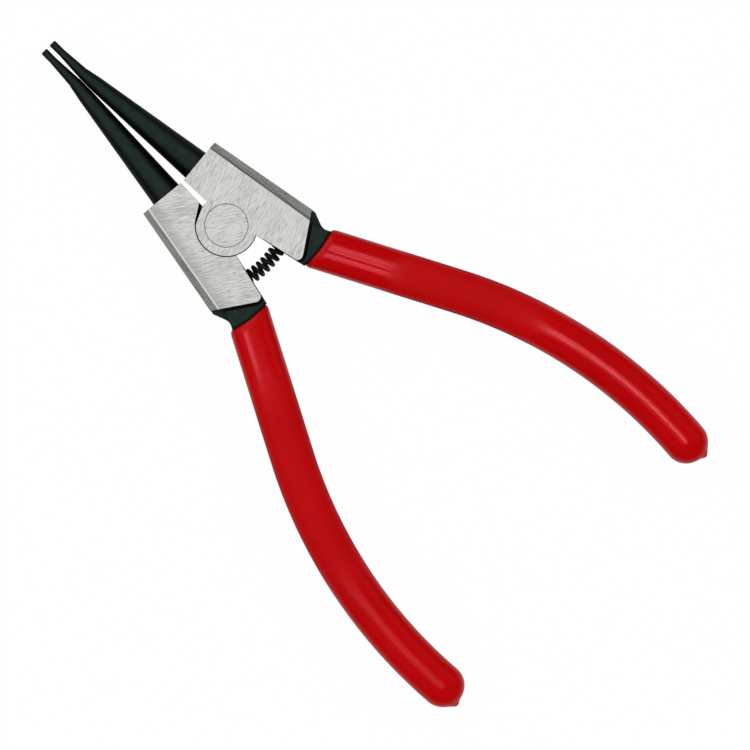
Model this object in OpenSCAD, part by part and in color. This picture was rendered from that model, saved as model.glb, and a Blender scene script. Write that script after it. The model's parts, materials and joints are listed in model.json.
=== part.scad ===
// Circlip pliers for external retaining rings. Two identical forged levers lap on one flush
// rivet, a coil spring between them keeps the noses closed, and each handle has a dipped grip.
// Squeezing the handles opens the tips. Lengths are in millimetres, angles in degrees.
// The tool lies flat on Z = 0 with its noses towards -X and its pivot axis on Z.

/* [Tips and noses] */
// Distance from the pivot axis to the ends of the tips
tip_reach = 60; // [50:1:75]
// Diameter of the parallel tips that enter the eyes of a ring
tip_d = 1.8; // [1.5:0.1:2.2]
// Length of the parallel end of each tip
tip_pin = 3; // [2:0.5:5]
// Gap between the tips' ends when the noses are closed
tip_gap = 0.9; // [0.85:0.05:1.3]
// Length of the slim tip from its shoulder to its end
tip_len = 10.4; // [8:0.2:13]
// Diameter of the nose where the slim tip starts
shoulder_d = 2.9; // [2.4:0.1:3.4]
// Gap between the shoulders, where the closed noses stop each other
stop_gap = 0.02; // [0.02:0.02:0.4]
// Length behind the shoulders along which the closed noses stay parallel
stop_land = 4; // [1:0.5:6]
// Diameter of each nose at the front face of the body
nose_d = 7.7; // [6:0.1:8.2]
// Gap between the noses at the front face of the body
nose_root_gap = 2.2; // [1.6:0.1:3]

/* [Joint body] */
// Thickness of the joint body and of the grips
body_t = 9; // [8:0.25:11]
// Distance from the pivot axis to the middle of the front face
body_front = 15.2; // [13:0.2:18]
// Half the width of the body across the pivot axis
body_half_w = 14.9; // [13.5:0.1:17]
// Angle between the outer edge of a body and the tool's axis
edge_tilt = 10.4; // [8:0.2:13]
// Distance from the pivot axis to the rear end of the ground flat at the outer edge
heel_x = 11.6; // [10:0.2:14]
// Angle of the flat's rear edge off square
heel_tilt = 34; // [28:1:38]
// Radius of the flat's inner rear corner
heel_r = 1.4; // [0.8:0.1:2.4]
// Width of the slot between the bodies at the front face
slot_w = 0.95; // [0.6:0.05:1.3]
// Angle at which each side of the slot opens towards the pivot
slot_flare = 2.2; // [1:0.1:3]
// Offset of the inner rear face from the tool's axis, measured at the pivot
inner_face_y = 1.9; // [1.6:0.1:2.4]
// Angle between an inner rear face and the tool's axis
inner_tilt = 12.6; // [11:0.2:15]

/* [Edge bevels] */
// Bevel of the outer edge on the lug's side, at the front face
lug_bevel_front = 1.9; // [1:0.05:2.2]
// Bevel of the outer edge on the lug's side, at the heel
lug_bevel_rear = 2.5; // [1:0.05:2.8]
// Bevel of the outer edge on the recess's side, at the front face
recess_bevel_front = 1.55; // [0.8:0.05:2.2]
// Bevel of the outer edge on the recess's side, at the heel
recess_bevel_rear = 1.75; // [0.8:0.05:2.4]

/* [Lap joint] */
// Diameter of the half-thickness lug
lug_d = 14.5; // [13:0.1:15.5]
// Radial clearance between a lug and its recess
lug_clear = 0.25; // [0.15:0.01:0.5]
// Depth of the relief flat on the front flank of the lug
lug_relief = 0.4; // [0.2:0.05:0.8]
// Angle of the relief flat past the tool's axis
lug_relief_turn = 25; // [18:1:30]
// Angle from the slot at which the recess's round wall starts to run straight to the slot
recess_open_turn = 32; // [24:1:40]
// Gap between the two lugs' mating faces
lap_gap = 0.08; // [0.04:0.01:0.2]
// Diameter of the rivet's shank
rivet_d = 7; // [6:0.1:8]
// Diameter of the rivet's flush countersunk heads
rivet_head_d = 10.35; // [9:0.05:11]
// Radial running clearance of the rivet in its bores
rivet_clear = 0.04; // [0.02:0.01:0.08]
// Broken edge around each rivet head
rivet_rim = 0.1; // [0.05:0.05:0.3]

/* [Spring] */
// Distance from the pivot axis to the middle of each spring pocket's mouth
spring_x = 12.4; // [11.6:0.2:14]
// Outer diameter of the coil
spring_od = 3.9; // [3.4:0.1:4.4]
// Diameter of the spring wire
wire_d = 0.9; // [0.7:0.05:1]
// Pitch of the open coils with the noses closed
spring_pitch = 1.55; // [1.35:0.05:2]
// Depth of each spring pocket
pocket_depth = 2.2; // [1.8:0.1:3]
// Radial clearance of the coil in its pockets
pocket_clear = 0.5; // [0.3:0.05:0.6]

/* [Handles] */
// Angle between the straight part of a handle and the tool's axis
handle_tilt = 27.6; // [24:0.2:31]
// Length of the straight part, from the heel of the body to the bend
handle_straight = 38; // [28:0.5:55]
// Radius of the bend along the handle's centreline
handle_r = 117.5; // [90:0.5:150]
// Angle that the handle turns through along the bend
handle_sweep = 32; // [26:0.2:38]
// Width of the steel tang inside the grip
tang_w = 9.1; // [8:0.1:10]
// Radius of the tang's long edges
tang_edge_r = 2.5; // [1.5:0.1:3]
// Distance along the heel from its inner corner to the handle's centreline
tang_from_inner = 4.95; // [4.5:0.05:5.3]
// Angle at which the neck narrows behind the body's outer corner
neck_taper = 21; // [14:1:26]
// Radius of the hollow between the neck and the handle
neck_r = 3; // [2:0.1:4]

/* [Grips] */
// Wall of the grip beside the tang
grip_wall = 0.7; // [0.5:0.05:1.2]
// Wall of the grip above and below the tang
grip_cover = 0.9; // [0.6:0.05:1.4]
// Radius of the grip's long edges
grip_edge_r = 3.4; // [2.6:0.1:3.9]
// Fit of the grip around the tang and against the neck
grip_fit = 0.03; // [0.02:0.01:0.08]
// Length of bare neck in front of the grip, along the handle's centreline
neck_bare = 3.9; // [3.4:0.1:6]
// Angle of the grip's mouth off square to the handle
mouth_tilt = 19; // [12:1:24]
// Radius of the hollow curve of the grip's mouth
mouth_r = 22; // [18:1:40]
// Diameter of the drip nub at the end of the grip
nub_d = 2.6; // [1.6:0.1:3.4]
// Height of the drip nub beyond the round end
nub_h = 0.7; // [0.3:0.1:1.5]
// Offset of the drip nub to the outside of the handle's centreline
nub_side = 1.5; // [0:0.1:2.5]

/* [Hidden] */
$fn = 96;

STEEL = "#c6c8c2";
BLACK = "#202826";
SPRING_BLACK = "#121413";
RED = "#b8070f";

// Overlap that keeps a cut or a joined solid clear of the face it starts from
OVER = 1;
// Broken edge at the end of each tip
TIP_EDGE = 0.15;
// Step at the shoulder, and how much slimmer the tip is where it runs back into the nose
TIP_STEP = 0.06;
// Depth to which the nose and the tang run into the body
ROOT_DEPTH = 2;
// Steps of each rounded corner in an outline
ARC_STEPS = 10;
// Insets that keep the ramp's top edge inside the flat, the neck's side inside the tang, the tang's
// top inside the neck, the neck and its web inside the bevels, and a handle's round end inside its bend
RAMP_INSET = 0.05;
NECK_INSET = 0.05;
WEB_INSET = 0.1;
END_INSET = 0.02;
// Radius of the neck's outer corner
FOOT_R = 0.5;
// Inset that keeps the foot of the drip nub inside its round end
NUB_INSET = 0.05;
// Inset that keeps the straight end of the recess's wall inside its round part
WALL_INSET = 0.03;
// Gap between the end coils of the spring and the bottoms of its pockets
SEAT_GAP = 0.05;
// Gap between the closed end coils of the spring
COIL_GAP = 0.06;
// Rings per turn and sides of the spring wire
WIRE_RINGS = 16;
WIRE_SIDES = 8;

mid_z = body_t / 2;
tang_t = body_t - 2 * grip_cover;
grip_w = tang_w + 2 * grip_wall;
lug_r = lug_d / 2;
recess_r = lug_r + lug_clear;
rivet_sink = (rivet_head_d - rivet_d) / 2;

// Direction of an angle, and the point where two lines meet, each given by a point and an angle
function heading(a) = [cos(a), sin(a)];
function cross2(u, v) = u.x * v.y - u.y * v.x;
function meet(p, a, q, b) =
    p + heading(a) * cross2(q - p, heading(b)) / cross2(heading(a), heading(b));

// Outline with each corner [point, radius] rounded by an arc
function corner_arc(before, corner, after, r) =
    let (
        u = (before - corner) / norm(before - corner),
        v = (after - corner) / norm(after - corner),
        half = acos(u * v) / 2,
        middle = corner + (u + v) / norm(u + v) * r / sin(half),
        from = corner + u * r / tan(half) - middle,
        turn = (cross2(u, v) > 0 ? -1 : 1) * (180 - 2 * half),
        start = atan2(from.y, from.x)
    )
    [for (i = [0:ARC_STEPS]) middle + r * heading(start + turn * i / ARC_STEPS)];
function rounded(corners) =
    let (n = len(corners))
    [for (i = [0:n - 1])
        each corners[i][1] == 0
            ? [corners[i][0]]
            : corner_arc(corners[(i + n - 1) % n][0], corners[i][0], corners[(i + 1) % n][0], corners[i][1])];

// The nose runs from the front face to its shoulder, and the slim tip goes on from there
shoulder = [-(tip_reach - tip_len), (stop_gap + shoulder_d) / 2];
tip_end = [-tip_reach, (tip_gap + tip_d) / 2];
nose_root = [-body_front, (nose_root_gap + nose_d) / 2];
nose_axis = shoulder - nose_root;
tip_axis = tip_end - shoulder;
nose_turn = atan2(nose_axis.y, nose_axis.x);
tip_turn = atan2(tip_axis.y, tip_axis.x);

// Corners of the ground flat, whose front face is square to the nose
front_turn = nose_turn - 90;
edge_point = [0, body_half_w];
slot_point = [-body_front, slot_w / 2];
inner_point = [0, inner_face_y];
heel_turn = 90 + heel_tilt;
heel_out = [heel_x, body_half_w + heel_x * tan(edge_tilt)];
heel_in = meet(heel_out, heel_turn, inner_point, inner_tilt);
front_out = meet(nose_root, front_turn, edge_point, edge_tilt);
front_in = meet(nose_root, front_turn, slot_point, slot_flare);
waist = meet(slot_point, slot_flare, inner_point, inner_tilt);

// The neck leaves the body behind the heel, inside the bevels. A thinner web fills its outer corner
neck_corner = heel_out - [2 * WEB_INSET, 0]
    - (lug_bevel_rear + WEB_INSET) / cos(heel_tilt - edge_tilt) * heading(heel_turn);
web_edge = edge_point - [0, WEB_INSET];
web_heel = meet(heel_out, heel_turn, web_edge, edge_tilt);
foot_out = meet(heel_out + grip_cover * heading(heel_tilt), heel_turn, web_edge, edge_tilt);
tang_root = heel_in + tang_from_inner * heading(heel_turn);
tang_outer = tang_root + tang_w / 2 * heading(handle_tilt + 90);
neck_side = tang_outer - NECK_INSET * heading(handle_tilt + 90);
web_side = neck_side - NECK_INSET * heading(handle_tilt + 90);
neck_hollow = meet(neck_corner, 0, neck_side, handle_tilt);
web_hollow = meet(foot_out, -neck_taper, web_side, handle_tilt);
neck_end = tang_root + 2 * neck_bare * heading(handle_tilt);
neck_out = meet(neck_end, handle_tilt + 90, neck_side, handle_tilt);
web_out = meet(neck_end, handle_tilt + 90, web_side, handle_tilt);
neck_in = meet(neck_end, handle_tilt + 90, inner_point, inner_tilt);
mouth_middle = tang_root + neck_bare * heading(handle_tilt);
mouth_centre = mouth_middle - mouth_r * heading(handle_tilt - mouth_tilt);
bend_centre = tang_root + handle_straight * heading(handle_tilt) + handle_r * heading(handle_tilt - 90);

// The spring's axis is an arc about the point where the two inner rear faces would meet
apex_x = -inner_face_y / tan(inner_tilt);
bend_r = (spring_x - apex_x) / cos(inner_tilt);
pocket_r = spring_od / 2 + pocket_clear;

module flat_outline() {
    polygon(rounded([
        [front_in, 0],
        [front_out, 0],
        [heel_out, 0],
        [heel_in, heel_r],
        [waist, 0]
    ]));
}

module neck_outline() {
    polygon(rounded([
        [neck_corner, 0],
        [neck_hollow, neck_r],
        [neck_out, 0],
        [neck_in, 0],
        [inner_point + spring_x * heading(inner_tilt), 0]
    ]));
}

module web_outline() {
    polygon(rounded([
        [web_heel, 0],
        [foot_out, FOOT_R],
        [web_hollow, neck_r],
        [web_out, 0],
        [tang_root, 0]
    ]));
}

// Round bar of the given profile, from a point along a direction in the plan
module turned(start, turn, profile) {
    translate([start.x, start.y, mid_z])
        rotate([0, 90, turn])
            rotate_extrude()
                polygon(profile);
}

module nose() {
    nose_len = norm(nose_axis);
    slim_len = norm(tip_axis);
    land_r = shoulder_d / 2 + stop_land * tan(nose_turn);
    nose_slope = (nose_d / 2 - land_r) / (nose_len - stop_land);
    tip_root = shoulder_d / 2 - TIP_STEP;
    turned(nose_root, nose_turn, [
        [0, -ROOT_DEPTH],
        [nose_d / 2 + ROOT_DEPTH * nose_slope, -ROOT_DEPTH],
        [land_r, nose_len - stop_land],
        [shoulder_d / 2, nose_len],
        [0, nose_len]
    ]);
    turned(shoulder, tip_turn, [
        [0, -ROOT_DEPTH],
        [tip_root - 3 * TIP_STEP, -ROOT_DEPTH],
        [tip_root, 0],
        [tip_d / 2, slim_len - tip_pin - TIP_EDGE],
        [tip_d / 2, slim_len - TIP_EDGE],
        [tip_d / 2 - TIP_EDGE, slim_len],
        [0, slim_len]
    ]);
}

// Half-thickness lug with a relief flat, so that its recess is open at the slot
module lug() {
    lug_z = mid_z + lap_gap / 2;
    difference() {
        translate([0, 0, lug_z])
            cylinder(r = lug_r, h = body_t - lug_z);
        rotate(180 + lug_relief_turn)
            translate([lug_r - lug_relief, -lug_r, 0])
                cube([lug_r, lug_d, body_t + OVER]);
    }
}

// Round recess for the other lever's lug, which opens to the slot along a straight wall
module recess() {
    translate([0, 0, -OVER]) {
        cylinder(r = recess_r, h = mid_z + lap_gap / 2 + OVER);
        rotate(180 - recess_open_turn)
            cube([recess_r - WALL_INSET, recess_r, mid_z + OVER]);
    }
}

// Rivet: a shank between two countersunk heads, grown by a clearance and run past both faces
module rivet_form(grow, past) {
    head = rivet_head_d / 2 + grow;
    shank = rivet_d / 2 + grow;
    rim = past > 0 ? 0 : rivet_rim;
    rotate_extrude()
        polygon([
            [0, -past],
            [head - rim, -past],
            [head, rivet_rim],
            [shank, rivet_rim + rivet_sink],
            [shank, body_t - rivet_rim - rivet_sink],
            [head, body_t - rivet_rim],
            [head - rim, body_t + past],
            [0, body_t + past]
        ]);
}

// Wedge that bevels the outer edge of one face, from its front to its heel
module bevel_cut(front, rear) {
    inward = edge_tilt - 90;
    from = front_out + front * heading(inward);
    to = heel_out + rear * heading(inward);
    along = to - from;
    turn = atan2(along.y, along.x);
    translate([from.x, from.y, body_t])
        rotate([-45, 0, turn])
            translate([-body_t, -body_t, 0])
                cube([norm(along) + 2 * body_t, 3 * body_t, 2 * body_t]);
}

module spring_pocket() {
    translate([apex_x, 0, mid_z])
        rotate(inner_tilt)
            translate([bend_r, pocket_depth, 0])
                rotate([90, 0, 0])
                    cylinder(r = pocket_r, h = pocket_depth + OVER);
}

module body() {
    difference() {
        union() {
            linear_extrude(body_t)
                flat_outline();
            lug();
        }
        recess();
        rivet_form(rivet_clear, OVER);
        bevel_cut(lug_bevel_front, lug_bevel_rear);
        translate([0, 0, body_t])
            mirror([0, 0, 1])
                bevel_cut(recess_bevel_front, recess_bevel_rear);
    }
}

// Ramp behind the heel, from the flat down to the neck
module ramp() {
    run = grip_cover + RAMP_INSET;
    corner = corner_middle();
    start = corner + heel_r * heading(heel_tilt);
    heel_len = norm(heel_out - start);
    translate([start.x, start.y, body_t - grip_cover])
        rotate([90, 0, heel_tilt])
            translate([-RAMP_INSET, 0, -heel_len])
                linear_extrude(heel_len)
                    polygon([[0, 0], [run, 0], [0, grip_cover]]);
    translate([corner.x, corner.y, body_t - grip_cover])
        cylinder(r1 = heel_r - 2 * RAMP_INSET + run, r2 = heel_r - 2 * RAMP_INSET, h = grip_cover);
}

// Middle of the arc that rounds the flat's inner rear corner
function corner_middle() =
    meet(heel_in - heel_r * heading(heel_tilt), heel_turn,
         inner_point + heel_r * heading(inner_tilt + 90), inner_tilt);

module neck() {
    web_low = recess_bevel_rear + WEB_INSET;
    web_high = body_t - lug_bevel_rear - WEB_INSET;
    intersection() {
        union() {
            translate([0, 0, grip_cover - NECK_INSET])
                linear_extrude(tang_t + 2 * NECK_INSET)
                    neck_outline();
            translate([0, 0, web_low])
                linear_extrude(web_high - web_low)
                    web_outline();
        }
        translate([mouth_centre.x, mouth_centre.y, 0])
            cylinder(r = mouth_r - grip_fit, h = body_t, $fn = 256);
    }
    for (side = [0, 1])
        translate([0, 0, side * body_t])
            mirror([0, 0, side])
                intersection() {
                    ramp();
                    linear_extrude(body_t)
                        neck_outline();
                }
}

// Upright section of a handle with rounded long edges
module bar_section(w, t, r) {
    square([w - 2 * r, t], center = true);
    square([w, t - 2 * r], center = true);
    for (x = [-1, 1], y = [-1, 1])
        translate([x * (w / 2 - r), y * (t / 2 - r)])
            circle(r);
}

// Places its children at the centre of the bend, where X points to the bend's start and Y is the
// way the handle runs there
module at_bend() {
    translate([bend_centre.x, bend_centre.y, mid_z])
        rotate(handle_tilt - 90)
            mirror([1, 0, 0])
                children();
}

// Places its children at the middle of the handle's round end, with X outwards and Y along it
module at_handle_end() {
    at_bend()
        rotate(handle_sweep)
            translate([handle_r, 0, 0])
                children();
}

// Bar that follows the handle's centreline: a straight, a bend and a round end
module handle_bar(w, t, r, lead) {
    at_bend() {
        rotate([90, 0, 0])
            linear_extrude(handle_straight + lead)
                translate([handle_r, 0])
                    bar_section(w, t, r);
        rotate_extrude(angle = handle_sweep, $fn = 256)
            translate([handle_r, 0])
                bar_section(w, t, r);
    }
    at_handle_end()
        rotate_extrude()
            intersection() {
                bar_section(w - 2 * END_INSET, t - 2 * END_INSET, r - END_INSET);
                translate([0, -t])
                    square([w, 2 * t]);
            }
}

module drip_nub() {
    nub_r = nub_d / 2;
    tip = grip_w / 2 + nub_h - nub_r;
    at_handle_end()
        translate([nub_side, tip, 0]) {
            sphere(r = nub_r);
            rotate([90, 0, 0])
                cylinder(r1 = nub_r - NUB_INSET, r2 = nub_d, h = nub_d);
        }
}

module lever() {
    difference() {
        union() {
            color(STEEL)
                body();
            color(BLACK) {
                nose();
                neck();
                handle_bar(tang_w, tang_t, tang_edge_r, 0);
            }
        }
        color(BLACK)
            spring_pocket();
    }
}

module grip() {
    color(RED)
        difference() {
            union() {
                handle_bar(grip_w, body_t, grip_edge_r, 0);
                drip_nub();
            }
            handle_bar(tang_w + 2 * grip_fit, tang_t + 2 * grip_fit, tang_edge_r + grip_fit, OVER);
            translate([mouth_centre.x, mouth_centre.y, -OVER])
                cylinder(r = mouth_r, h = body_t + 2 * OVER, $fn = 256);
        }
}

// The rear lever and its grip are the front ones turned over about the tool's axis
module turned_over() {
    translate([0, 0, body_t])
        rotate([180, 0, 0])
            children();
}

module front_lever() {
    lever();
}

module rear_lever() {
    turned_over()
        lever();
}

module front_grip() {
    grip();
}

module rear_grip() {
    turned_over()
        grip();
}

module pivot_rivet() {
    color(STEEL)
        rivet_form(0, 0);
}

// The spring's axis: an arc between the pocket mouths, and straight inside each pocket
bend_half = bend_r * inner_tilt * PI / 180;
coil_half = bend_half + pocket_depth - SEAT_GAP - wire_d / 2;
coil_r = (spring_od - wire_d) / 2;
end_pitch = wire_d + COIL_GAP;
open_len = 2 * (coil_half - end_pitch);
open_turns = round(open_len / spring_pitch);
all_turns = open_turns + 2;

// Distance along the axis after a number of turns: one closed turn at each end, open between
function coil_rise(turns) =
    turns < 1 ? turns * end_pitch - coil_half
    : turns > all_turns - 1 ? coil_half - (all_turns - turns) * end_pitch
    : end_pitch - coil_half + (turns - 1) * open_len / open_turns;

// Turn of the axis at a distance along it, and the point there
function axis_turn(q) = max(-inner_tilt, min(inner_tilt, q / bend_r * 180 / PI));
function axis_point(q) =
    let (a = axis_turn(q), past = q - a * PI / 180 * bend_r)
    [apex_x, 0] + bend_r * heading(a) + past * heading(a + 90);

// Ring of points around the wire after a number of right-handed turns
function wire_ring(turns) =
    let (
        q = coil_rise(turns),
        out = heading(axis_turn(q)),
        along = heading(axis_turn(q) + 90),
        centre = axis_point(q),
        swing = 360 * turns
    )
    [for (k = [0:WIRE_SIDES - 1])
        let (
            b = 360 * k / WIRE_SIDES,
            reach = coil_r + wire_d / 2 * cos(b),
            p = centre + reach * sin(swing) * out + wire_d / 2 * sin(b) * along
        )
        [p.x, p.y, mid_z + reach * cos(swing)]];

module return_spring() {
    rings = all_turns * WIRE_RINGS;
    last = rings * WIRE_SIDES;
    points = [for (i = [0:rings]) each wire_ring(i / WIRE_RINGS)];
    sides = [for (i = [0:rings - 1], k = [0:WIRE_SIDES - 1])
        let (next = (k + 1) % WIRE_SIDES, a = i * WIRE_SIDES)
        [a + k, a + WIRE_SIDES + k, a + WIRE_SIDES + next, a + next]];
    ends = [
        [for (k = [0:WIRE_SIDES - 1]) k],
        [for (k = [0:WIRE_SIDES - 1]) last + WIRE_SIDES - 1 - k]
    ];
    color(SPRING_BLACK)
        polyhedron(points, concat(sides, ends));
}

front_lever();
rear_lever();
pivot_rivet();
return_spring();
front_grip();
rear_grip();
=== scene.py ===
# %% [markdown]
# Circlip pliers, dressed for a photograph.
#
# The tool has two forged levers that lap on a flush rivet, a coil spring that holds the noses
# closed, and a dipped vinyl grip on each handle. Its construction comes packed as a frame of
# plain solids, in metres. This lesson gives those solids their finishes, and remakes the pieces
# whose look depends on a soft or wound form. The noses point to -X, the rivet's axis is Z, and
# the tool lies on Z = 0.

# %% Load the solids
import json
import math

import bmesh
import bpy
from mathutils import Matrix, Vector

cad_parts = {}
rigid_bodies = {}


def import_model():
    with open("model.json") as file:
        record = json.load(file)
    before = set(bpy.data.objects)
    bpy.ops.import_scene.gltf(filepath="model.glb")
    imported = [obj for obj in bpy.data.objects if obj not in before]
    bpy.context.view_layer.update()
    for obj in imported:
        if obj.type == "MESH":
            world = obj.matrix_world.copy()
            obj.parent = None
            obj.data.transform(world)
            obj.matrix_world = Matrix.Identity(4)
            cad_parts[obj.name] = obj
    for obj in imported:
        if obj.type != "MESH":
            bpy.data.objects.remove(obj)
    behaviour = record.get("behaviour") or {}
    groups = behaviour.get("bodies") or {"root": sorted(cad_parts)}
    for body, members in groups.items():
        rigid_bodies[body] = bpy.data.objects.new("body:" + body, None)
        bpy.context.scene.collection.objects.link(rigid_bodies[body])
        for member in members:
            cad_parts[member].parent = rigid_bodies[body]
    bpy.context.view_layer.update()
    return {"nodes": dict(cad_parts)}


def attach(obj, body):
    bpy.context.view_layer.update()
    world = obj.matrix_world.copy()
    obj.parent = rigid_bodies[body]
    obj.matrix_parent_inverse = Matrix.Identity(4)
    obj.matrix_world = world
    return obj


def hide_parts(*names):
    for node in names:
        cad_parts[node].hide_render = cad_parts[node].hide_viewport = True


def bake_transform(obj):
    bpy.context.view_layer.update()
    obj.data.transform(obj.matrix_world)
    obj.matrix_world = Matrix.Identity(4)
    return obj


for leftover in list(bpy.data.objects):
    bpy.data.objects.remove(leftover)
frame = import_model()
nodes = frame["nodes"]
print("solids:", ", ".join(sorted(nodes)))

# %% [markdown]
# A finish is a small network of shader nodes. Wiring each node by hand hides the idea behind
# dozens of lines, so one class wraps an output socket and lets Python's own operators add the
# Math nodes. Then a mask reads like the sum that it is. Numbers alone never need a node: Python
# works them out first.

# %% Sums of sockets
class Tone:
    """An output socket in a shader tree. Arithmetic on it adds Math nodes."""

    def __init__(self, tree, socket):
        self.tree = tree
        self.socket = socket

    def node(self, kind, settings=None, inputs=None, out=0):
        """Adds a node of any type, with its settings, and the values or links of its inputs."""
        made = self.tree.nodes.new(kind)
        for name, value in (settings or {}).items():
            setattr(made, name, value)
        for name, value in (inputs or {}).items():
            if isinstance(value, Tone):
                self.tree.links.new(value.socket, made.inputs[name])
            else:
                made.inputs[name].default_value = value
        return Tone(self.tree, made.outputs[out])

    def math(self, operation, a, b):
        return self.node("ShaderNodeMath", {"operation": operation}, {0: a, 1: b})

    def __add__(self, other):
        return self.math("ADD", self, other)

    __radd__ = __add__

    def __sub__(self, other):
        return self.math("SUBTRACT", self, other)

    def __rsub__(self, other):
        return self.math("SUBTRACT", other, self)

    def __mul__(self, other):
        return self.math("MULTIPLY", self, other)

    __rmul__ = __mul__

    def __gt__(self, other):
        return self.math("GREATER_THAN", self, other)

    def __lt__(self, other):
        return self.math("LESS_THAN", self, other)

    def either(self, other):
        return self.math("MAXIMUM", self, other)

    def ramp(self, low, high, start=0.0, end=1.0):
        """Goes smoothly from start to end as this value goes from low to high."""
        return self.node(
            "ShaderNodeMapRange",
            {"interpolation_type": "SMOOTHSTEP"},
            {"Value": self, "From Min": low, "From Max": high, "To Min": start, "To Max": end},
        )

    def mixed(self, first, second):
        """The first colour where this mask is 0, and the second where it is 1."""
        return self.node(
            "ShaderNodeMix", {"data_type": "RGBA"}, {0: self, 6: first, 7: second}, out=2
        )

    def along(self, direction):
        """How far this vector goes in a direction."""
        return self.node(
            "ShaderNodeVectorMath", {"operation": "DOT_PRODUCT"}, {0: self, 1: direction}, out=1
        )


# %% [markdown]
# Every finish needs the same start: a material with one Principled shader, and the place of each
# point. The Object output of a Texture Coordinate node gives that place in the solid's own frame,
# so a pattern stays on the metal when a lever turns. Millimetres keep the numbers readable.

# %% A material, and places on it in millimetres
def new_finish(name):
    """A fresh material: its shader node, and the place of each point in millimetres."""
    material = bpy.data.materials.new(name)
    material.use_nodes = True
    shader = material.node_tree.nodes["Principled BSDF"]
    start = Tone(material.node_tree, None)
    place = start.node("ShaderNodeTexCoord", out="Object")
    place = start.node(
        "ShaderNodeVectorMath", {"operation": "SCALE"}, {0: place, "Scale": 1000.0}
    )
    return material, shader, place


def plug(shader, **values):
    """Sets or links the shader's inputs, whose names have _ for each space."""
    tree = shader.id_data
    for name, value in values.items():
        socket = shader.inputs[name.replace("_", " ")]
        if isinstance(value, Tone):
            tree.links.new(value.socket, socket)
        else:
            socket.default_value = value


def grain(place, directions, seed=0.0, detail=3.0):
    """Noise from 0 to 1, stretched: each direction is divided by the length of its marks."""
    x, y, z = (place.along(direction) for direction in directions)
    spot = place.node("ShaderNodeCombineXYZ", None, {0: x, 1: y, 2: z + seed})
    return place.node(
        "ShaderNodeTexNoise", None, {"Vector": spot, "Scale": 1.0, "Detail": detail}
    )


def heading(degrees, scale=1.0):
    """A flat direction at an angle from +X."""
    a = math.radians(degrees)
    return (math.cos(a) * scale, math.sin(a) * scale, 0.0)


# %% [markdown]
# The grips are made by dipping the hot tang in liquid vinyl. The skin is thick and glossy,
# follows the bar softly, thins to a rounded lip at the mouth, and leaves a drip at the end. A box
# with bevels would look machined, so the grip is a skin of rings along the handle's centreline.
# Each ring is a rounded section that goes from flat-topped near the joint, where it sinks a
# little between two soft ridges, to nearly oval at the end.

# %% The handle's centreline
HANDLE_TILT = 27.6
STRAIGHT = 38.0
BEND_R = 117.5
SWEEP = 32.0
TANG_ROOT = Vector((16.1799, 10.2391, 0.0))
GRIP_W = 10.48
GRIP_T = 9.0
MOUTH_R = 22.0
MOUTH_TILT = 19.0
NECK_BARE = 3.9
ARC_LEN = BEND_R * math.radians(SWEEP)
HANDLE_LEN = STRAIGHT + ARC_LEN
mouth_centre = (
    TANG_ROOT
    + NECK_BARE * Vector(heading(HANDLE_TILT))
    - MOUTH_R * Vector(heading(HANDLE_TILT - MOUTH_TILT))
)


def handle_frame(s):
    """Point of the centreline at a distance along it, with its forward and outward directions."""
    if s <= STRAIGHT:
        way = HANDLE_TILT
        centre = TANG_ROOT + s * Vector(heading(way))
    else:
        turned = min(math.degrees((s - STRAIGHT) / BEND_R), SWEEP)
        way = HANDLE_TILT - turned
        bend_start = TANG_ROOT + STRAIGHT * Vector(heading(HANDLE_TILT))
        bend_centre = bend_start + BEND_R * Vector(heading(HANDLE_TILT - 90))
        centre = bend_centre + BEND_R * Vector(heading(way + 90))
        past = s - STRAIGHT - math.radians(turned) * BEND_R
        centre = centre + past * Vector(heading(way))
    return centre, Vector(heading(way)), Vector(heading(way + 90))


def mouth_start(v):
    """Distance along the centreline at which the grip's mouth cuts a line beside it."""
    forward = Vector(heading(HANDLE_TILT))
    foot = TANG_ROOT + v * Vector(heading(HANDLE_TILT + 90)) - mouth_centre
    along = foot.dot(forward)
    return -along + math.sqrt(along * along - foot.length_squared + MOUTH_R * MOUTH_R)


print("handle:", round(HANDLE_LEN, 1), "mm; mouth starts at", round(mouth_start(0.0), 2), "mm")

# %% [markdown]
# The forgings are black oxide all over, and then a grinding wheel passes over the joint: its two
# flats, the bevels along its outer edges and the outer sides come out bright. A second material
# on chosen faces could show that, but the solids' meshes stay as they are. The ground area has
# simple limits, so a mask works them out from the place: near the top or the bottom, or near the
# outer edge. A bevel meets its flat along a straight border, and the distance past that border
# later places painted shade and a painted highlight on them.

# %% Where the grinding wheel has been
BODY_T = 9.0
EDGE_TILT = 10.4
HEEL_TILT = 34.0
FRONT_OUT = Vector((-15.913, 11.979, 0.0))
HEEL_OUT = Vector((11.6, 17.029, 0.0))
NOSE_ROOT = Vector((-15.2, 4.95, 0.0))
NOSE_OUT = Vector((-0.99489, -0.10094, 0.0))
LUG_BEVEL = (1.9, 2.5)
RECESS_BEVEL = (1.55, 1.75)
FLAT_SKIN = 0.06
BORDER_MARGIN = 0.1
FRONT_MARGIN = 0.05
HEEL_MARGIN = 0.03
UP = (0.0, 0.0, 1.0)


def flipped(vector, side):
    """A direction as the rear lever has it, where side is -1. In front, side is 1."""
    return (vector[0], vector[1] * side, vector[2])


def past_border(place, side, bevel):
    """Distance past the straight border of a flat and its bevel, given the bevel's two widths."""
    inward = Vector(heading(EDGE_TILT - 90))
    first = FRONT_OUT + bevel[0] * inward
    last = HEEL_OUT + bevel[1] * inward
    way = (last - first).normalized()
    out = Vector((-way.y, way.x, 0.0))
    return place.along(flipped(out, side)) - out.dot(first)


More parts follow.
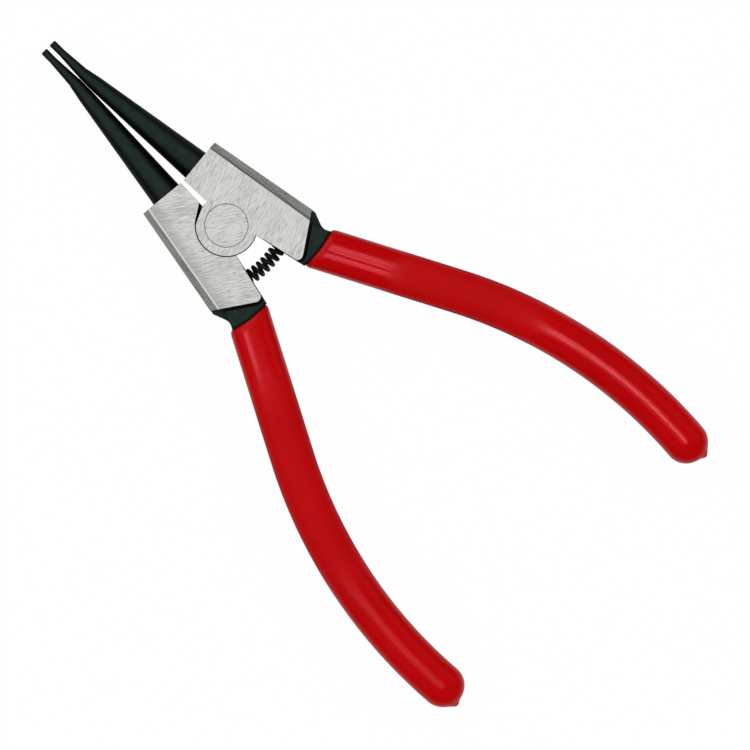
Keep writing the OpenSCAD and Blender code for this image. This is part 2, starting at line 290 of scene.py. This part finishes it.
def ground_masks(place, side):
    """Masks of a lever's ground flats and outer bevels, and the distance past their border."""
    height = place.along(UP)
    flat = (height > BODY_T - FLAT_SKIN).either(height < FLAT_SKIN)
    top, bottom = (LUG_BEVEL, RECESS_BEVEL) if side > 0 else (RECESS_BEVEL, LUG_BEVEL)
    upper = height > BODY_T / 2
    above = past_border(place, side, top)
    below = past_border(place, side, bottom)
    border = upper * above + (1 - upper) * below
    past_front = place.along(flipped(NOSE_OUT, side)) - NOSE_OUT.dot(NOSE_ROOT)
    square = Vector(heading(HEEL_TILT))
    past_heel = place.along(flipped(square, side)) - square.dot(HEEL_OUT)
    outer = (border > -BORDER_MARGIN) * (past_front < -FRONT_MARGIN) * (past_heel < -HEEL_MARGIN)
    return flat, outer * (1 - flat), border


print("outer edge:", round((HEEL_OUT - FRONT_OUT).length, 1), "mm long")

# %% [markdown]
# Ground steel isn't one grey. The wheel leaves fine parallel lines, some brighter and some
# duller, and broad soft bands where it pressed harder. A picture of brushed metal could be laid on
# it, but noise that is stretched along the grinding direction gives the lines without one, and the
# same noise makes them rough and slightly raised. On the photographed tool the front lever was
# ground steeply across, and the rear lever and the rivet nearly along, so each has its angle.

# %% Lines of the grinding wheel
STEEL_LIGHT = (0.99, 0.995, 0.945, 1.0)
STEEL_DULL = (0.54, 0.545, 0.51, 1.0)
FRONT_ANGLE = 107.0
REAR_ANGLE = 57.0


def streaks(place, angle, along, across, seed, detail):
    """Noise at an angle, with a number of marks in a millimetre along it and across it."""
    return grain(place, (heading(angle, along), heading(angle + 90, across), UP), seed, detail)


def grinding(place, angle, seed):
    """Lines that a grinding wheel leaves at an angle, from 0 to 1."""
    lines = streaks(place, angle, 0.26, 4.8, seed, 4.0)
    hairs = streaks(place, angle, 0.5, 7.5, seed + 7, 2.0)
    bands = streaks(place, angle, 0.06, 0.25, seed + 3, 1.0)
    return lines * 0.44 + hairs * 0.46 + bands * 0.10


print("grinding lines at", FRONT_ANGLE, "and", REAR_ANGLE, "degrees")

# %% [markdown]
# Black oxide is a thin, oiled crust on the forging. Shade is painted over it: darker on slopes
# than on top, and in the corner at the mouth of the grip. A texture image could hold that, but the
# slope is there already in the surface's own normal, and the corner in the place. A broken line
# of painted shadow also runs along the sharp inner edge behind the joint.

# %% Black oxide, with painted shade
OXIDE_LIGHT = (0.0165, 0.0300, 0.0255, 1.0)
OXIDE_DARK = (0.0122, 0.0225, 0.0190, 1.0)
OXIDE_SHADE = (0.0008, 0.0018, 0.0014, 1.0)
INNER_Y = 1.9
INNER_TILT = 12.6
AFT = (1.0, 0.0, 0.0)
FAR = 100.0


def even_grain(place, fineness, seed, detail):
    """Noise with no direction, with a number of marks in a millimetre."""
    return grain(
        place, ((fineness, 0.0, 0.0), (0.0, fineness, 0.0), (0.0, 0.0, fineness)), seed, detail
    )


def flat_distance(place, centre):
    """Distance from an upright axis through a point."""
    spot = place.node(
        "ShaderNodeVectorMath", {"operation": "MULTIPLY"}, {0: place, 1: (1.0, 1.0, 0.0)}
    )
    return place.node(
        "ShaderNodeVectorMath", {"operation": "DISTANCE"}, {0: spot, 1: centre}, out=1
    )


def upright(place):
    """Square of how far the surface faces straight up or down, in the solid's own frame."""
    slope = place.node("ShaderNodeTexCoord", out="Normal").along(UP)
    return slope * slope


def oxide_and_painted_shade(place, side, seed):
    """Greenish black, with painted shade on slopes and towards the mouth of the grip."""
    skin = even_grain(place, 0.7, seed + 11, 6.0)
    colour = skin.ramp(0.34, 0.66).mixed(OXIDE_DARK, OXIDE_LIGHT)
    # Painted shade: darker on slopes, where less light falls.
    colour = upright(place).ramp(0.56, 1.0).mixed(OXIDE_SHADE, colour)
    # Painted shade: darker towards the mouth of the grip, but not on the noses.
    to_mouth = MOUTH_R - flat_distance(place, flipped(mouth_centre, side))
    at_nose = place.along(AFT) < 0.0
    return (to_mouth + at_nose * FAR).ramp(0.0, 1.0).mixed(OXIDE_SHADE, colour), skin


def painted_inner_shadow(place, side, seed):
    """A broken line of painted shadow along the sharp inner edge behind the joint."""
    inward = Vector(heading(INNER_TILT + 90))
    from_edge = place.along(flipped(inward, side)) - inward.y * INNER_Y
    behind = place.along(AFT) + even_grain(place, 0.6, seed + 17, 3.0) * 4.0
    return from_edge.ramp(0.10, 0.20, 1.0, 0.0) * behind.ramp(9.5, 12.0)


print("inner edges lean", INNER_TILT, "degrees off the tool's axis")

# %% [markdown]
# Each lever carries both: steel where the wheel has been, and oxide elsewhere. The rear flat has
# painted shade near its outer border and a painted highlight on the border itself, and the front
# bevel has painted shade beside its flat. Two hand-made materials would drift apart, so one
# function makes both, and the side tells them apart. Sharp edges are rounded a little in the
# shading, as grinding leaves them.

# %% The levers' finish
STEEL_SHADE = (0.46, 0.465, 0.435, 1.0)
BEVEL_LIGHT = (0.42, 0.415, 0.385, 1.0)
BEVEL_DULL = (0.22, 0.218, 0.20, 1.0)
BEVEL_SHADE = (0.12, 0.12, 0.11, 1.0)
FRONT_TINT = (0.405, 0.535)
REAR_TINT = (0.41, 0.55)
BEVEL_PAINTED_SHADE = (0.0, 0.9)
REAR_PAINTED_SHADE = (-4.0, -0.5)
REAR_PAINTED_SHADE_SHARE = 0.55
REAR_PAINTED_HIGHLIGHT = (-0.42, -0.22)
STEEL_ROUGH = (0.30, 0.08)
OXIDE_ROUGH = (0.46, 0.16)
GRIND_RELIEF = 0.35
BUMP = {"Strength": 0.25, "Distance": 0.00003}
EDGE_ROUND = 0.00012


def lever_finish(name, side, angle, seed):
    """Black oxide with a ground joint, for one lever."""
    material, shader, place = new_finish(name)
    flat, outer, border = ground_masks(place, side)
    ground = flat.either(outer)
    pits = even_grain(place, 3.2, seed + 5, 4.0)
    across = (0.0, -1.8 * side, 1.8)
    along_edge = grain(place, (heading(EDGE_TILT * side, 0.1), across, (0.0, 0.0, 0.0)), seed)
    marks = flat * grinding(place, angle, seed) + outer * (along_edge * 0.5 + pits * 0.5)
    tint = marks.ramp(*(FRONT_TINT if side > 0 else REAR_TINT))
    steel = tint.mixed(STEEL_DULL, STEEL_LIGHT)
    bevel = tint.mixed(BEVEL_DULL, BEVEL_LIGHT)
    if side > 0:
        # Painted shade: the front bevel is darkest beside its flat.
        bevel = border.ramp(*BEVEL_PAINTED_SHADE).mixed(BEVEL_SHADE, bevel)
    else:
        # Painted shade: the rear flat is duller towards its outer border.
        steel = (border.ramp(*REAR_PAINTED_SHADE) * REAR_PAINTED_SHADE_SHARE).mixed(steel, STEEL_SHADE)
        # Painted highlight: a bright line along the rear flat's outer border.
        steel = border.ramp(*REAR_PAINTED_HIGHLIGHT).mixed(steel, STEEL_LIGHT)
    # Painted shadow: a broken dark line on the flats along the inner edge behind the joint.
    steel = (painted_inner_shadow(place, side, seed) * flat).mixed(steel, OXIDE_DARK)
    steel = outer.mixed(steel, bevel)
    oxide_and_shade, skin = oxide_and_painted_shade(place, side, seed)
    relief = ground * marks * GRIND_RELIEF + (1 - ground) * pits
    edges = place.node("ShaderNodeBevel", {"samples": 6}, {"Radius": EDGE_ROUND})
    bump = place.node("ShaderNodeBump", None, {**BUMP, "Height": relief, "Normal": edges})
    bright = STEEL_ROUGH[0] + tint * STEEL_ROUGH[1]
    black = OXIDE_ROUGH[0] + skin * OXIDE_ROUGH[1]
    plug(
        shader,
        Base_Color=ground.mixed(oxide_and_shade, steel),
        Metallic=ground,
        Roughness=ground * bright + (1 - ground) * black,
        Specular_IOR_Level=0.08,
        Normal=bump,
    )
    return material


for node_name, side, angle, seed in (
    ("front_lever", 1, FRONT_ANGLE, 2.0),
    ("rear_lever", -1, REAR_ANGLE, 31.0),
):
    nodes[node_name].data.materials[0] = lever_finish(node_name + "_steel", side, angle, seed)
    print(node_name, "ground at", angle, "degrees")

# %% [markdown]
# The rivet is closed cold in the joint and then ground flush with it, so it carries the same
# lines as the rear lever. Only its edge gives it away: a broken ring of painted shadow with a
# little oil in it. The mask for that ring is the distance from the pivot axis.

# %% The flush rivet
RIVET_R = 5.175
RIVET_TINT = (0.39, 0.54)
RIM_DARK = (0.26, 0.26, 0.245, 1.0)
RIM_START = 0.18
RIM_END = 0.06


def rivet_finish():
    """Ground steel with a broken dark rim, for both heads of the rivet."""
    material, shader, place = new_finish("rivet_steel_ground")
    marks = grinding(place, REAR_ANGLE, 63.0)
    tint = marks.ramp(*RIVET_TINT)
    from_axis = flat_distance(place, (0.0, 0.0, 0.0))
    # Painted shadow with a little oil: a broken dark ring at the rivet's edge.
    rim = from_axis.ramp(RIVET_R - RIM_START, RIVET_R - RIM_END)
    rim = rim * even_grain(place, 0.9, 3.0, 2.0).ramp(0.38, 0.62, 0.3, 1.0)
    steel = tint.mixed(STEEL_DULL, STEEL_LIGHT)
    bump = place.node("ShaderNodeBump", None, {**BUMP, "Height": marks * GRIND_RELIEF})
    plug(
        shader,
        Base_Color=rim.mixed(steel, RIM_DARK),
        Metallic=1.0,
        Roughness=STEEL_ROUGH[0] + tint * STEEL_ROUGH[1],
        Normal=bump,
    )
    return material


nodes["pivot_rivet"].data.materials[0] = rivet_finish()
print("rivet heads:", 2 * RIVET_R, "mm across")

# %% [markdown]
# The return spring is wound from round black wire: one closed turn at each end, and open turns
# between them. Its axis bends, because the two pockets that hold it lean away from each other. A
# curve with a bevel could draw it, but here each ring of the wire is placed in a mesh by the same
# rule as the solid, only with more of them.

# %% The rule of the coil
MM = 0.001
SPRING_OD = 3.9
WIRE_D = 0.9
SPRING_X = 12.4
POCKET_DEPTH = 2.2
SPRING_PITCH = 1.55
SEAT_GAP = 0.05
TURN_GAP = 0.06
apex_x = -INNER_Y / math.tan(math.radians(INNER_TILT))
bend_r = (SPRING_X - apex_x) / math.cos(math.radians(INNER_TILT))
bend_half = bend_r * math.radians(INNER_TILT)
coil_half = bend_half + POCKET_DEPTH - SEAT_GAP - WIRE_D / 2
end_pitch = WIRE_D + TURN_GAP
open_turns = round(2 * (coil_half - end_pitch) / SPRING_PITCH)
all_turns = open_turns + 2
print("spring:", all_turns, "turns over", round(2 * coil_half, 2), "mm")


def coil_rise(turns):
    """Distance along the spring's axis after a number of turns."""
    if turns < 1:
        return turns * end_pitch - coil_half
    if turns > all_turns - 1:
        return coil_half - (all_turns - turns) * end_pitch
    return end_pitch - coil_half + (turns - 1) * 2 * (coil_half - end_pitch) / open_turns


def axis_frame(q):
    """Point of the spring's axis at a distance along it, with its out and forward directions."""
    a = max(-INNER_TILT, min(INNER_TILT, math.degrees(q / bend_r)))
    out = Vector(heading(a))
    forward = Vector(heading(a + 90))
    past = q - math.radians(a) * bend_r
    return Vector((apex_x, 0, BODY_T / 2)) + bend_r * out + past * forward, out, forward


# %% [markdown]
# The wire, and later the grips, are skins over a row of rings. A curve's bevel gives such a skin
# one section all along. That would do for the wire, but a grip's section changes, so one small
# helper joins the rings face by face for both.

# %% A skin over rings
def tube_mesh(name, rings):
    """A mesh whose skin joins rings of points, all with the same count, closed at both ends."""
    mesh = bmesh.new()
    rows = [[mesh.verts.new(p * MM) for p in ring] for ring in rings]
    for row, after in zip(rows, rows[1:]):
        for k in range(len(row)):
            n = (k + 1) % len(row)
            mesh.faces.new((row[k], row[n], after[n], after[k]))
    mesh.faces.new(rows[0][::-1])
    mesh.faces.new(rows[-1])
    bmesh.ops.recalc_face_normals(mesh, faces=mesh.faces)
    data = bpy.data.meshes.new(name)
    mesh.to_mesh(data)
    mesh.free()
    for face in data.polygons:
        face.use_smooth = True
    made = bpy.data.objects.new(name, data)
    bpy.context.scene.collection.objects.link(made)
    return made


# %% [markdown]
# The wire's rings stand across the coil, each swung on from the last. Twelve sides and 28 rings a
# turn already look round at this size, so the coil needs no modifier.

# %% The wound wire
RINGS_PER_TURN = 28
WIRE_SIDES = 12
wire_rings = []
for i in range(all_turns * RINGS_PER_TURN + 1):
    turns = i / RINGS_PER_TURN
    centre, out, forward = axis_frame(coil_rise(turns))
    swing = 2 * math.pi * turns
    away = out * math.sin(swing) + Vector((0, 0, math.cos(swing)))
    ring = []
    for k in range(WIRE_SIDES):
        b = 2 * math.pi * k / WIRE_SIDES
        reach_out = (SPRING_OD - WIRE_D) / 2 + WIRE_D / 2 * math.cos(b)
        ring.append(centre + away * reach_out + forward * (WIRE_D / 2 * math.sin(b)))
    wire_rings.append(ring)
coil = tube_mesh("spring_coil", wire_rings)
print("spring coil:", len(coil.data.polygons), "faces")

# %% [markdown]
# Black spring wire is drawn, then oiled: smooth, nearly black, with a narrow shine along each
# turn. A lattice or bones could squeeze it when the levers close, but here the coil stays as it is
# built, and only the two ends of its axis are worked out.

# %% Spring wire, and the ends of its axis
WIRE_DARK = (0.002, 0.0026, 0.0025, 1.0)
WIRE_LIGHT = (0.005, 0.0062, 0.006, 1.0)
material, shader, place = new_finish("spring_wire")
speck = even_grain(place, 3.0, 4.0, 4.0)
plug(
    shader,
    Base_Color=speck.ramp(0.3, 0.7).mixed(WIRE_DARK, WIRE_LIGHT),
    Roughness=0.34 + speck * 0.12,
    Specular_IOR_Level=0.22,
)
coil.data.materials.append(material)
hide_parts("return_spring")
low, _, _ = axis_frame(-coil_half - WIRE_D / 2)
high, _, _ = axis_frame(coil_half + WIRE_D / 2)
low * MM
high * MM
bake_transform(coil)
print("spring ends:", round((high - low).length, 2), "mm apart")

# %% [markdown]
# A superellipse is an oval with a dial: at 2 it is an ellipse, and larger values square it up.
# Its points are spaced evenly round it. Turning that dial down along the handle gives the change
# of section without a second shape. The upper side of the front grip starts with a shallow
# trough, creased along its middle, where the skin follows the bar.

# %% The grip's section
RIDGE_POWER = 3.3
MOUTH_POWER = 2.9
END_POWER = 2.3
TAPER = (22.0, 45.0)
TROUGH_V = 0.1
TROUGH_W = 0.9
TROUGH_D = 0.09
TROUGH_FADE = (20.0, 5.0)


def smooth(t):
    """Goes smoothly from 0 to 1 as t does, and stays there outside."""
    t = max(0.0, min(1.0, t))
    return t * t * (3 - 2 * t)


def section(turn, s, inset):
    """Offset across and up of a ring's point, at a turn round it and a distance along the bar."""
    share, above = math.cos(turn), turn < math.pi
    squareness = RIDGE_POWER if above and share > 0 else MOUTH_POWER
    power = squareness + (END_POWER - squareness) * smooth((s - TAPER[0]) / TAPER[1])
    across = share * (GRIP_W / 2 - inset)
    up = (1 - abs(share) ** power) ** (1 / power) * (GRIP_T / 2 - inset)
    if above:
        trough = max(0.0, 1 - abs(across - TROUGH_V) / TROUGH_W)
        fade = 1 - smooth((s - TROUGH_FADE[0]) / TROUGH_FADE[1])
        return across, up - TROUGH_D * trough * fade
    return across, -up


print("section:", GRIP_W, "by", GRIP_T, "mm, with a trough of", TROUGH_D, "mm")

# %% [markdown]
# The rings follow the centreline from the mouth to the end. The lip and the round end come from
# shrinking the outer rings: at the mouth by the skin's own wall, and at the end along a quarter
# circle, so that the tip closes like a drop. Sculpting the drip would do for one grip, but the
# rear grip is the front one turned over, so one set of rings serves both.

# %% The grips' skins
SECTION_POINTS = 144
WALL = 0.62
LIP = 1.8
LIP_DEPTHS = (2.5, 0.5)
LIP_STEPS = 12
LENGTH_STEPS = 110
END_STEPS = 20
END_FULLNESS = 0.8
MOUTH_S = 6.0
DRIP_SIDE = 1.5
DRIP_R = 1.2
DRIP_H = 0.85


def grip_rings():
    """Rings of one grip, from inside its lip to its closed end."""
    angles = [2 * math.pi * k / SECTION_POINTS for k in range(SECTION_POINTS)]
    lip = [(depth, WALL) for depth in LIP_DEPTHS]
    for i in range(LIP_STEPS + 1):
        turn = math.pi / 2 * i / LIP_STEPS
        lip.append((LIP * (1 - math.cos(turn)), WALL * (1 - math.sin(turn))))
    rings = []
    for ahead, inset in lip:
        ring = []
        for angle in angles:
            across, up = section(angle, MOUTH_S, inset)
            s = mouth_start(across) + ahead
            centre, _, out = handle_frame(s)
            ring.append(centre + across * out + Vector((0, 0, GRIP_T / 2 + up)))
        rings.append(ring)
    for i in range(1, LENGTH_STEPS + 1):
        share = i / LENGTH_STEPS
        ring = []
        for angle in angles:
            across, up = section(angle, MOUTH_S + share * (HANDLE_LEN - MOUTH_S), 0.0)
            begin = mouth_start(across) + lip[-1][0]
            s = begin + share * (HANDLE_LEN - begin)
            centre, _, out = handle_frame(s)
            ring.append(centre + across * out + Vector((0, 0, GRIP_T / 2 + up)))
        rings.append(ring)
    centre, forward, out = handle_frame(HANDLE_LEN)
    for i in range(1, END_STEPS):
        turn = math.pi / 2 * i / END_STEPS
        ring = []
        for angle in angles:
            across, up = section(angle, HANDLE_LEN, 0.0)
            across, up = across * math.cos(turn), up * math.cos(turn) ** END_FULLNESS
            drip = math.exp(-((across - DRIP_SIDE) ** 2 + up**2) / DRIP_R**2)
            ahead = math.sin(turn) * (GRIP_W / 2 + DRIP_H * drip)
            ring.append(centre + across * out + ahead * forward + Vector((0, 0, GRIP_T / 2 + up)))
        rings.append(ring)
    return rings


def turned_over(p):
    """The same point on the rear half: the tool turned over about its length."""
    return Vector((p.x, -p.y, GRIP_T - p.z))


front_rings = grip_rings()
rear_rings = [[turned_over(p) for p in ring] for ring in front_rings]
grips = {
    "front": tube_mesh("front_grip_skin", front_rings),
    "rear": tube_mesh("rear_grip_skin", rear_rings),
}
for half, grip in grips.items():
    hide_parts(half + "_grip")
    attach(grip, half + "_half")
    print(grip.name, len(grip.data.polygons), "faces")

# %% [markdown]
# Dipped vinyl is a deep red with a wet gloss. Its colour is even, with painted shade where the
# skin turns down at the sides, and its surface has long shallow waves from the way it ran before
# it set. The gloss isn't even either: the first centimetres behind the mouth and the ends are wet,
# the lip is softer, and the part between, where a hand closes, is worn to satin. The distance
# from the mouth's centre tells them apart. The shine is tinted red, as on the photographed grips.

# %% Glossy red vinyl
RED_LIGHT = (0.52, 0.0003, 0.0016, 1.0)
RED_DEEP = (0.48, 0.0002, 0.0012, 1.0)
RED_PAINTED_SHADE = (0.32, 0.0020, 0.0080, 1.0)
SHINE_TINT = (1.0, 0.25, 0.29, 1.0)
FRONT_WORN = ((14.0, 22.0), (47.0, 60.0))
REAR_WORN = ((8.0, 25.0), (56.0, 74.0))
FRONT_GLOSS = 0.15
REAR_GLOSS = 0.21
SATIN = 0.60
LIP_SOFTER = 0.28


def vinyl_finish(side):
    """Red vinyl for one grip, with its worn part between two distances from the mouth."""
    material, shader, place = new_finish("red_vinyl")
    cloud = even_grain(place, 0.06, 9.0, 2.0)
    waves = even_grain(place, 0.12, 21.0, 1.0)
    behind = flat_distance(place, flipped(mouth_centre, side)) - MOUTH_R
    worn_start, worn_end = FRONT_WORN if side > 0 else REAR_WORN
    gloss = FRONT_GLOSS if side > 0 else REAR_GLOSS
    satin = behind.ramp(*worn_start) * (1 - behind.ramp(*worn_end))
    lip = behind.ramp(0.7, 2.2, LIP_SOFTER, 0.0)
    bump = place.node(
        "ShaderNodeBump", None, {"Strength": 0.03, "Distance": 0.0004, "Height": waves}
    )
    red = cloud.ramp(0.3, 0.7).mixed(RED_DEEP, RED_LIGHT)
    plug(
        shader,
        # Painted shade: the red is darker where the skin turns down at the sides.
        Base_Color=upright(place).ramp(0.0, 0.3).mixed(RED_PAINTED_SHADE, red),
        Roughness=gloss + lip + satin * (SATIN - gloss),
        Specular_IOR_Level=0.14,
        Specular_Tint=SHINE_TINT,
        Normal=bump,
    )
    return material


for half, grip in grips.items():
    grip.data.materials.append(vinyl_finish(1 if half == "front" else -1))
    print(grip.name, "has", grip.data.materials[0].name)

# %% [markdown]
# The tool lies on a white table under soft studio light. The table is a large plane. What the
# camera sees of it is mostly plain white light, and the rest is real white paint that keeps the
# shadow under the tool. Shiny surfaces see more of the paint, so the sides of the tool stay dark
# near the table.

# %% The white table
WHITE = (1.0, 1.0, 1.0, 1.0)
PAINT = (0.86, 0.86, 0.86, 1.0)
GLOW_SHARE = 0.98
bpy.ops.mesh.primitive_plane_add(size=6.0, location=(0.05, 0.0, -0.0002))
table = bpy.context.object
table.name = "white_table"
material = bpy.data.materials.new("white_paint")
material.use_nodes = True
tree = material.node_tree
start = Tone(tree, None)
light_path = tree.nodes.new("ShaderNodeLightPath")
seen = Tone(tree, light_path.outputs["Is Camera Ray"])
seen = seen.either(Tone(tree, light_path.outputs["Is Glossy Ray"]) * 0.5)
seen = seen.either(Tone(tree, light_path.outputs["Is Transmission Ray"]))
glow = start.node("ShaderNodeEmission", None, {"Color": WHITE, "Strength": 1.0})
paint = tree.nodes["Principled BSDF"]
plug(paint, Base_Color=PAINT, Roughness=0.9, Specular_IOR_Level=0.1)
mixed = start.node(
    "ShaderNodeMixShader", None, {0: seen * GLOW_SHARE, 1: Tone(tree, paint.outputs[0]), 2: glow}
)
tree.links.new(mixed.socket, tree.nodes["Material Output"].inputs["Surface"])
table.data.materials.append(material)
print(table.name, "is", round(table.dimensions.x, 2), "m wide")

# %% [markdown]
# Around the table stands a pale room: bright overhead, dimmer towards the walls. Flat steel shows
# the ceiling and bevels show the walls, so this fall-off is what makes a bevel read darker than
# the flat beside it. A picture of a studio could light the tool too, but a ramp from wall to
# ceiling needs none. The camera sees plain white.

# %% The room
WALL_LIGHT = 0.28
CEILING_LIGHT = 0.70
world = bpy.data.worlds.new("studio")
bpy.context.scene.world = world
world.use_nodes = True
tree = world.node_tree
start = Tone(tree, None)
view_up = start.node("ShaderNodeTexCoord", out="Generated").along(UP)
level = view_up.ramp(0.0, 0.9, WALL_LIGHT, CEILING_LIGHT)
light_path = tree.nodes.new("ShaderNodeLightPath")
seen = Tone(tree, light_path.outputs["Is Camera Ray"])
strength = seen + (1 - seen) * level
background = tree.nodes["Background"]
background.inputs["Color"].default_value = WHITE
tree.links.new(strength.socket, background.inputs["Strength"])
print("room:", WALL_LIGHT, "at the walls,", CEILING_LIGHT, "overhead")

# %% [markdown]
# Two large soft boxes at the sides fill in, and give no highlights. The others only put
# highlights on the vinyl: one ahead of the mouths for both lips, and for each grip one over its
# mouth and one over its end. Glowing panels could do the same, but lamps give less noise.

# %% The soft boxes
def soft_box(name, place, aim, size, power, shines_on=None):
    """A rectangular lamp, turned to a point. Given a collection, it only gives highlights on it."""
    lamp = bpy.data.lights.new(name, "AREA")
    lamp.shape = "RECTANGLE"
    lamp.size, lamp.size_y = size
    lamp.energy = power
    made = bpy.data.objects.new(name, lamp)
    made.location = place
    made.rotation_euler = (Vector(aim) - Vector(place)).to_track_quat("-Z", "Y").to_euler()
    made.visible_glossy = shines_on is not None
    made.visible_diffuse = shines_on is None
    if shines_on:
        made.light_linking.receiver_collection = shines_on
    bpy.context.scene.collection.objects.link(made)
    print(name, "at", tuple(round(v, 2) for v in place), power, "W")


def linked_to(name, objects):
    """A collection of the objects that a lamp shines on."""
    made = bpy.data.collections.new(name)
    for item in objects:
        made.objects.link(item)
    return made


LAMP_HEIGHT = 0.90
middle = (0.05, 0.0, 0.0)
soft_box("left_fill", (-0.2, -0.7, 0.7), middle, (0.6, 0.6), 2.6)
soft_box("right_fill", (0.3, 0.7, 0.7), middle, (0.6, 0.6), 2.6)
both = linked_to("both_grips", grips.values())
soft_box("lip_box", (-0.75, 0.0, LAMP_HEIGHT), middle, (0.7, 0.2), 14.0, both)
alone = {half: linked_to(half + "_grip_alone", [grip]) for half, grip in grips.items()}
for half, name, x, y, size, power in (
    ("front", "front_mouth_box", 0.030, -0.010, (0.170, 0.310), 2.60),
    ("front", "front_end_box", 0.125, 0.033, (0.110, 0.076), 0.95),
    ("rear", "rear_mouth_box", -0.080, -0.225, (0.160, 0.210), 2.80),
    ("rear", "rear_end_box", 0.140, -0.097, (0.120, 0.207), 0.82),
):
    soft_box(name, (x, y, LAMP_HEIGHT), (x, y, 0.0), size, power, alone[half])

# %% [markdown]
# The photograph looks straight down with a long lens, with the tool's axis across the frame from
# the upper left. The camera is turned 45 degrees about Z to match.

# %% The camera
CAMERA_HEIGHT = 1.5
VIEW_WIDTH = 0.1775
VIEW_CENTRE = (0.0499, -0.00015)
VIEW_TURN = 45
camera = bpy.data.cameras.new("camera")
camera.sensor_width = 36.0
camera.lens = camera.sensor_width * (CAMERA_HEIGHT - BODY_T * MM) / VIEW_WIDTH
camera.clip_end = 20.0
eye = bpy.data.objects.new("camera", camera)
eye.location = (*VIEW_CENTRE, CAMERA_HEIGHT)
eye.rotation_euler = (0.0, 0.0, math.radians(VIEW_TURN))
bpy.context.scene.collection.objects.link(eye)
bpy.context.scene.camera = eye
bpy.context.scene.view_settings.view_transform = "Standard"
print("lens:", round(camera.lens), "mm")
